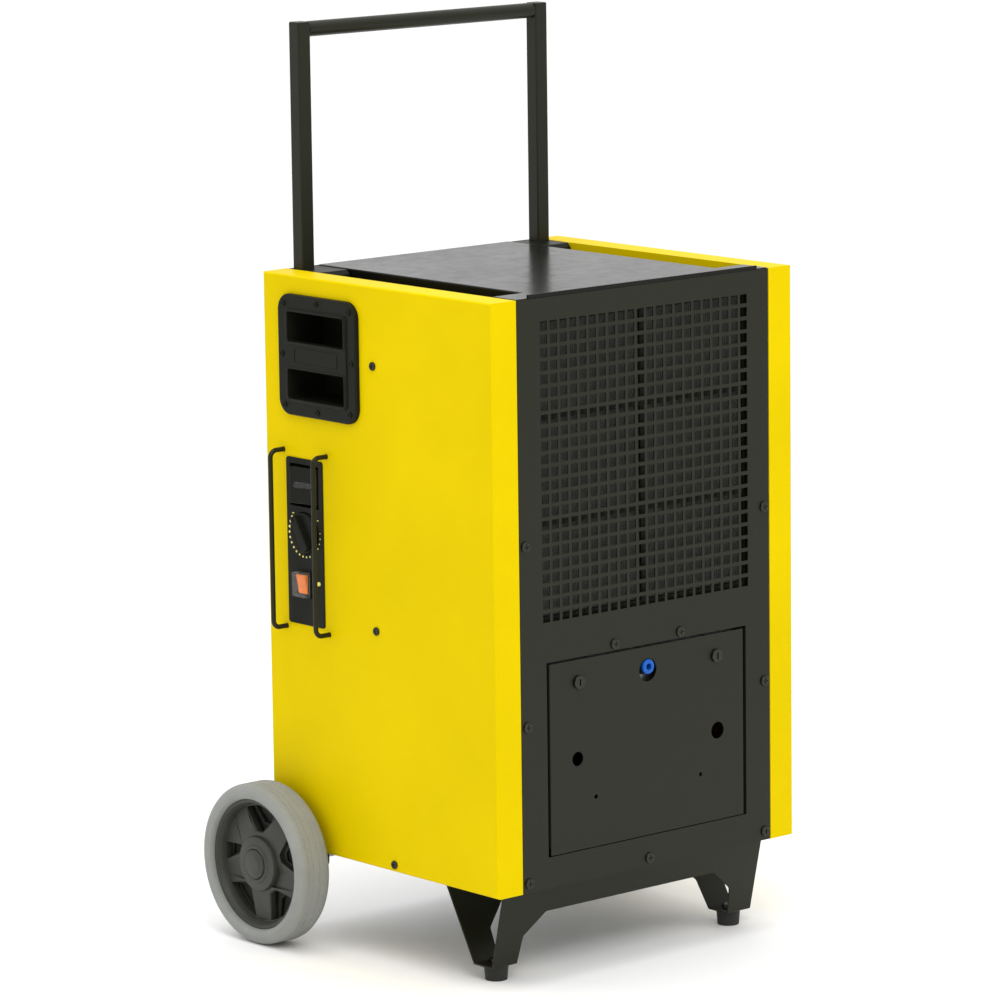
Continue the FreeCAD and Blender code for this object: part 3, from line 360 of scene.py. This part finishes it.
def merged(name, groups, slot, body):
    """Joins several (verts, faces) groups into one piece."""
    verts, faces = [], []
    for more_verts, more_faces in groups:
        start = len(verts)
        verts += more_verts
        faces += [tuple(start + i for i in face) for face in more_faces]
    mesh = bpy.data.meshes.new(name)
    mesh.from_pydata(verts, [], faces)
    return finish_mesh(name, mesh, slot, body)


def plate(loops, depth, edge, place, steps=3):
    """A flat plate from closed 2-D loops, the first outside and the rest holes, its rims rounded by edge."""
    curve = bpy.data.curves.new("plate", "CURVE")
    curve.dimensions = "2D"
    curve.fill_mode = "BOTH"
    curve.extrude = depth / 2 - edge
    curve.bevel_depth = edge
    curve.bevel_resolution = steps
    curve.offset = -edge
    for loop in loops:
        spline = curve.splines.new("POLY")
        spline.points.add(len(loop) - 1)
        for point, (u, v) in zip(spline.points, loop):
            point.co = (u, v, 0.0, 1.0)
        spline.use_cyclic_u = True
    holder = bpy.data.objects.new("plate", curve)
    bpy.context.scene.collection.objects.link(holder)
    bpy.context.view_layer.update()
    shaped = holder.evaluated_get(bpy.context.evaluated_depsgraph_get())
    mesh = bpy.data.meshes.new_from_object(shaped)
    verts = [place @ vert.co for vert in mesh.vertices]
    faces = [tuple(face.vertices) for face in mesh.polygons]
    bpy.data.objects.remove(holder)
    bpy.data.curves.remove(curve)
    bpy.data.meshes.remove(mesh)
    return verts, faces


def facing(origin, right, up):
    """Places a flat 2-D drawing: its u runs along right, its v along up."""
    right, up = Vector(right), Vector(up)
    place = Matrix.Identity(4)
    for row in range(3):
        place[row][0] = right[row]
        place[row][1] = up[row]
        place[row][2] = right.cross(up)[row]
        place[row][3] = origin[row]
    return place


def circle(radius, steps, u=0.0, v=0.0):
    turns = [2 * math.pi * step / steps for step in range(steps)]
    return [(u + radius * math.cos(turn), v + radius * math.sin(turn)) for turn in turns]


def rounded_rectangle(half_u, half_v, radius, steps=6, u=0.0, v=0.0):
    points = []
    for quarter, (side_u, side_v) in enumerate(((1, 1), (-1, 1), (-1, -1), (1, -1))):
        for step in range(steps + 1):
            turn = math.pi / 2 * (quarter + step / steps)
            points.append((u + side_u * (half_u - radius) + radius * math.cos(turn),
                           v + side_v * (half_v - radius) + radius * math.sin(turn)))
    return points


BOX_FACES = ((0, 1, 3, 2), (4, 6, 7, 5), (0, 4, 5, 1), (2, 3, 7, 6), (0, 2, 6, 4), (1, 5, 7, 3))


def plain_boxes(spans):
    """Plain boxes from (low corner, high corner) pairs."""
    verts, faces = [], []
    for low, high in spans:
        start = len(verts)
        for x in (low[0], high[0]):
            for y in (low[1], high[1]):
                for z in (low[2], high[2]):
                    verts.append(Vector((x, y, z)))
        for face in BOX_FACES:
            faces.append(tuple(start + i for i in face))
    return verts, faces


# =====================================================================================
# wheels
# =====================================================================================
SPOKES = 5
SPOKE_HALF_AT_HUB = 19.0 * MM
SPOKE_HALF_AT_RIM = 15.0 * MM
SPOKE_FACE_AT = 17.0 * MM
SPOKE_FACE_DEPTH = 11.0 * MM
SPOKE_FACE_EDGE = 2.4 * MM
SPOKE_RISE = 5.0 * MM
WEB_AT = 24.5 * MM
WEB_DEPTH = 4.0 * MM
WEB_STEP = 3.6 * MM
HUB_R = 34.0 * MM
WELL_R = 72.5 * MM


def spoke_window(middle, inset):
    """Outline of the opening between two spokes, shrunk by inset."""
    half_step = math.pi / SPOKES
    r_in = HUB_R + 1.5 * MM + inset * 2.2
    r_out = WELL_R - inset

    def edge(radius, sign):
        share = (radius - HUB_R) / (WELL_R - HUB_R)
        half = SPOKE_HALF_AT_HUB + (SPOKE_HALF_AT_RIM - SPOKE_HALF_AT_HUB) * share + inset
        centre_line = middle + sign * half_step
        away = centre_line - sign * math.pi / 2
        return Vector((radius * math.cos(centre_line) + half * math.cos(away),
                       radius * math.sin(centre_line) + half * math.sin(away)))

    low, high = edge(r_out, -1), edge(r_out, 1)
    from_angle, to_angle = (math.atan2(*reversed(point)) for point in (low, high))
    if to_angle < from_angle:
        to_angle += 2 * math.pi
    rim_r = low.length
    points = [edge(r_in, -1), low]
    for step in range(1, 16):
        angle = from_angle + (to_angle - from_angle) * step / 16
        points.append(Vector((rim_r * math.cos(angle), rim_r * math.sin(angle))))
    points += [high, edge(r_in, 1)]
    return [tuple(point) for point in points]


def dished(verts, centre, inward, rise):
    """Lifts a wheel plate outward towards its hub by rise."""
    lifted = []
    for vert in verts:
        arm = vert - centre
        radius = (arm - inward * arm.dot(inward)).length
        share = 1 - min(1.0, max(0.0, (radius - HUB_R) / (WELL_R - HUB_R)))
        lifted.append(vert - inward * rise * share)
    return lifted


def wheel_rim(side, name, node, body):
    """Five-spoke nylon rim: stepped lip, chamfered spokes, pockets on a closed disc, ringed hub."""
    low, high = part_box(node)
    outer_x = low.x if side < 0 else high.x
    centre = Vector((outer_x, (low.y + high.y) / 2, (low.z + high.z) / 2))
    inward = Vector((-side, 0, 0))

    def turned(outline):
        return lathe([(a * MM, r * MM) for a, r in outline], centre, inward, 160)

    barrel = turned([(0.6, 80.95), (0.0, 80.3), (0.0, 77.4), (0.7, 76.6), (2.2, 76.2), (3.0, 75.4),
                     (8.5, 74.0), (13.0, 72.4), (22.0, 72.4), (28.0, 73.6), (33.0, 75.4), (34.0, 77.0),
                     (34.0, 80.4), (33.4, 80.95)])
    hub = turned([(8.0, 34.6), (3.4, 34.2), (2.0, 33.4), (1.5, 32.2), (1.3, 25.0), (1.0, 24.2), (0.2, 23.4),
                  (-0.5, 22.6), (-0.8, 21.6), (-0.8, 19.6), (-0.4, 18.8), (0.6, 18.5), (5.9, 18.4),
                  (5.9, 10.1), (41.0, 10.1), (41.0, 18.6), (37.0, 23.0), (32.0, 33.0), (30.0, 34.6)])
    disc = turned([(27.6, 33.0), (29.4, 52.0), (27.0, 73.0), (30.0, 73.0), (32.4, 52.0), (30.6, 33.0)])
    middles = [-math.pi / 2 + math.pi / SPOKES * (2 * i + 1) for i in range(SPOKES)]
    outside = circle(WELL_R + 1.5 * MM, 120)

    def pierced(inset, depth, edge, at):
        place = facing(centre + inward * at, (0, -side, 0), (0, 0, 1))
        windows = [spoke_window(middle, inset) for middle in middles]
        return plate([outside] + windows, depth, edge, place)

    front = pierced(0.0, SPOKE_FACE_DEPTH, SPOKE_FACE_EDGE, SPOKE_FACE_AT)
    web = pierced(WEB_STEP, WEB_DEPTH, 0.8 * MM, WEB_AT)
    front = (dished(front[0], centre, inward, SPOKE_RISE), front[1])
    piece = merged(name, [barrel, hub, disc, front, web], "rim_plastic", body)
    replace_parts(piece, node)


def hub_domes():
    """Shallow ringed domes that close the ends of the axle."""
    low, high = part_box("hub_caps")
    outline = [(6.0, 10.1), (6.0, 18.2), (4.8, 18.2), (4.1, 17.9), (3.2, 16.8), (2.7, 15.4), (2.6, 14.6),
               (2.2, 14.1), (1.7, 13.4), (1.3, 9.0), (1.1, 4.0), (1.0, 0.05), (3.4, 0.05), (3.4, 10.1)]
    groups = []
    for x, inward in ((low.x, 1), (high.x, -1)):
        centre = Vector((x, (low.y + high.y) / 2, (low.z + high.z) / 2))
        groups.append(lathe([(a * MM, r * MM) for a, r in outline], centre, Vector((inward, 0, 0)), 72))
    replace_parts(merged("hub_cap_domes", groups, "rim_plastic", BASE), "hub_caps")


wheel_rim(-1, "spoked_rim_left", "wheel_rim_left", "wheel_left")
wheel_rim(1, "spoked_rim_right", "wheel_rim_right", "wheel_right")
hub_domes()


# =====================================================================================
# controls: printed scale on the control plate
# =====================================================================================
def side_drawing(x, y, z):
    """Drawing plane on the left side panel, seen from outside: u to the front, v up."""
    return facing(Vector((x, y, z)), (0, -1, 0), (0, 0, 1))


PIPS = 18
PIP_REACH = 29.6 * MM
PIP_SMALLEST = 0.7 * MM
PIP_GROWTH = 1.2 * MM
SCALE_START = math.radians(6)
SCALE_SWEEP = math.radians(-222)
BAR_REACH = 31.4 * MM
BAR_HALF_HEIGHT = 0.55 * MM
PRINT_THICK = 0.16 * MM
PRINT_EDGE = 0.03 * MM


def dial_scale():
    """Round pips that grow along the scale, with a short bar past each end."""
    knob = Vector(JOINTS["knob_turn"]["pos_m"])
    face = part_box("control_plate")[0].x
    place = side_drawing(face - PRINT_THICK * 0.4, knob.y, knob.z)
    groups = []
    for i in range(PIPS):
        share = i / (PIPS - 1)
        angle = SCALE_START + SCALE_SWEEP * share
        outline = circle(PIP_SMALLEST + PIP_GROWTH * share, 20,
                         PIP_REACH * math.cos(angle), PIP_REACH * math.sin(angle))
        groups.append(plate([outline], PRINT_THICK, PRINT_EDGE, place, 1))
    for angle, half in ((math.radians(36), 1.3 * MM), (math.radians(134), 1.9 * MM)):
        outline = rounded_rectangle(half, BAR_HALF_HEIGHT, 0.3 * MM, 3,
                                    BAR_REACH * math.cos(angle), BAR_REACH * math.sin(angle))
        groups.append(plate([outline], PRINT_THICK, PRINT_EDGE, place, 1))
    # the pips borrow the lamp lens look, whose glow makes the print shine faintly: painted glow, with no lamp
    # behind them
    merged("dial_scale_pips", groups, "lamp_lens", BASE)


dial_scale()


# =====================================================================================
# recessed handles: raised rims round the pockets and a plain frame on the grip
# =====================================================================================
POCKET_RISE = 34.9 * MM
POCKET_HALF_U = 53.3 * MM
POCKET_HALF_V = 18.4 * MM
POCKET_RADIUS = 2.6 * MM
POCKET_RIM = 2.4 * MM
FRAME_HALF_U = 40.0 * MM
FRAME_HALF_V = 8.6 * MM
FRAME_RADIUS = 2.4 * MM
FRAME_WIDTH = 1.4 * MM
RIM_THICK = 1.6 * MM


def handle_rims(side, name, node):
    """Raised rims round the two pockets and the plain frame on the grip between them."""
    low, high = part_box(node)
    face = low.x if side < 0 else high.x
    middle_y = (low.y + high.y) / 2
    middle_z = (low.z + high.z) / 2

    def ring(half_u, half_v, width, radius, rise):
        place = facing(Vector((face - side * RIM_THICK * 0.1, middle_y, middle_z + rise)),
                       (0, side, 0), (0, 0, 1))
        outer = rounded_rectangle(half_u + width, half_v + width, radius + width)
        return plate([outer, rounded_rectangle(half_u, half_v, radius)], RIM_THICK, 0.5 * MM, place)

    rims = [ring(POCKET_HALF_U, POCKET_HALF_V, POCKET_RIM, POCKET_RADIUS, rise)
            for rise in (-POCKET_RISE, POCKET_RISE)]
    rims.append(ring(FRAME_HALF_U, FRAME_HALF_V, FRAME_WIDTH, FRAME_RADIUS, 0.0))
    merged(name, rims, "black_plastic", BASE)


handle_rims(-1, "carry_handle_rims_left", "carry_handle_left")
handle_rims(1, "carry_handle_rims_right", "carry_handle_right")


# =====================================================================================
# intake: net behind the grille
# =====================================================================================
NET_PITCH = 3.1 * MM
NET_WIRE = 0.42 * MM


def filter_net():
    """Welded net of fine wires, one layer upright and one layer level, on the filter's frame."""
    low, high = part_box("filter_mat")
    front = low.y - 2 * NET_WIRE
    spans = []
    columns = int((high.x - low.x) / NET_PITCH)
    rows = int((high.z - low.z) / NET_PITCH)
    for i in range(columns + 1):
        x = low.x + (high.x - low.x - NET_WIRE) * i / columns
        spans.append(((x, front + NET_WIRE, low.z), (x + NET_WIRE, front + 2 * NET_WIRE, high.z)))
    for i in range(rows + 1):
        z = low.z + (high.z - low.z - NET_WIRE) * i / rows
        spans.append(((low.x, front, z), (high.x, front + NET_WIRE, z + NET_WIRE)))
    merged("filter_net_wires", [plain_boxes(spans)], "filter_fibre", BASE)


filter_net()


# =====================================================================================
# stage, light and camera
# =====================================================================================
def make_floor():
    corners = [(FLOOR_REACH * x, FLOOR_REACH * y, 0) for x, y in ((-1, -1), (1, -1), (1, 1), (-1, 1))]
    mesh = bpy.data.meshes.new("floor")
    mesh.from_pydata(corners, [], [(0, 1, 2, 3)])
    floor = bpy.data.objects.new("floor", mesh)
    bpy.context.scene.collection.objects.link(floor)
    mesh.materials.append(floor_look().material)


def soft_box(name, at, side, watts):
    """A square area lamp aimed at the cabinet."""
    lamp = bpy.data.lights.new(name, "AREA")
    lamp.shape = "RECTANGLE"
    lamp.size = side
    lamp.size_y = side
    lamp.energy = watts
    holder = bpy.data.objects.new(name, lamp)
    holder.location = at
    holder.rotation_euler = (Vector(LIGHTS_AIM) - Vector(at)).to_track_quat("-Z", "Y").to_euler()
    bpy.context.scene.collection.objects.link(holder)


def make_world():
    """A white studio dome, bright towards the backdrop and overhead, dim behind the camera."""
    world = bpy.data.worlds.new("studio")
    bpy.context.scene.world = world
    world.use_nodes = True
    tree = world.node_tree
    sky = tree.nodes["Background"]
    sky.inputs["Color"].default_value = (1.0, 1.0, 1.0, 1.0)
    facing_light = tree.nodes.new("ShaderNodeVectorMath")
    facing_light.operation = "DOT_PRODUCT"
    facing_light.inputs[1].default_value = Vector(DOME_BRIGHT_TOWARDS).normalized()
    ramp = tree.nodes.new("ShaderNodeMapRange")
    tree.links.new(tree.nodes.new("ShaderNodeTexCoord").outputs["Generated"], facing_light.inputs[0])
    tree.links.new(facing_light.outputs["Value"], ramp.inputs["Value"])
    ramp.inputs["From Min"].default_value = -1.0
    ramp.inputs["To Min"].default_value = DOME_DIM
    ramp.inputs["To Max"].default_value = DOME_BRIGHT
    tree.links.new(ramp.outputs["Result"], sky.inputs["Strength"])


def make_camera():
    azimuth, elevation = CAMERA_AZIMUTH, CAMERA_ELEVATION
    look = Vector((math.sin(azimuth) * math.cos(elevation), math.cos(azimuth) * math.cos(elevation),
                   -math.sin(elevation)))
    level = Vector((math.cos(azimuth), -math.sin(azimuth), 0))
    upright = level.cross(look)
    right = level * math.cos(CAMERA_ROLL) + upright * math.sin(CAMERA_ROLL)
    up = upright * math.cos(CAMERA_ROLL) - level * math.sin(CAMERA_ROLL)
    data = bpy.data.cameras.new("camera")
    data.sensor_width = SENSOR_WIDTH
    data.lens = CAMERA_LENS
    data.shift_x = CAMERA_SHIFT_X
    data.clip_end = VIEW_REACH
    camera = bpy.data.objects.new("camera", data)
    camera.matrix_world = facing(CAMERA_AT, right, up)
    bpy.context.scene.collection.objects.link(camera)
    bpy.context.scene.camera = camera


make_floor()
make_world()
soft_box("key_softbox", at=(-1.4, -2.9, 3.2), side=1.8, watts=50.0)
soft_box("top_softbox", at=(-0.3, -0.2, 3.6), side=2.4, watts=36.0)
make_camera()
bpy.context.scene.view_settings.view_transform = "Standard"
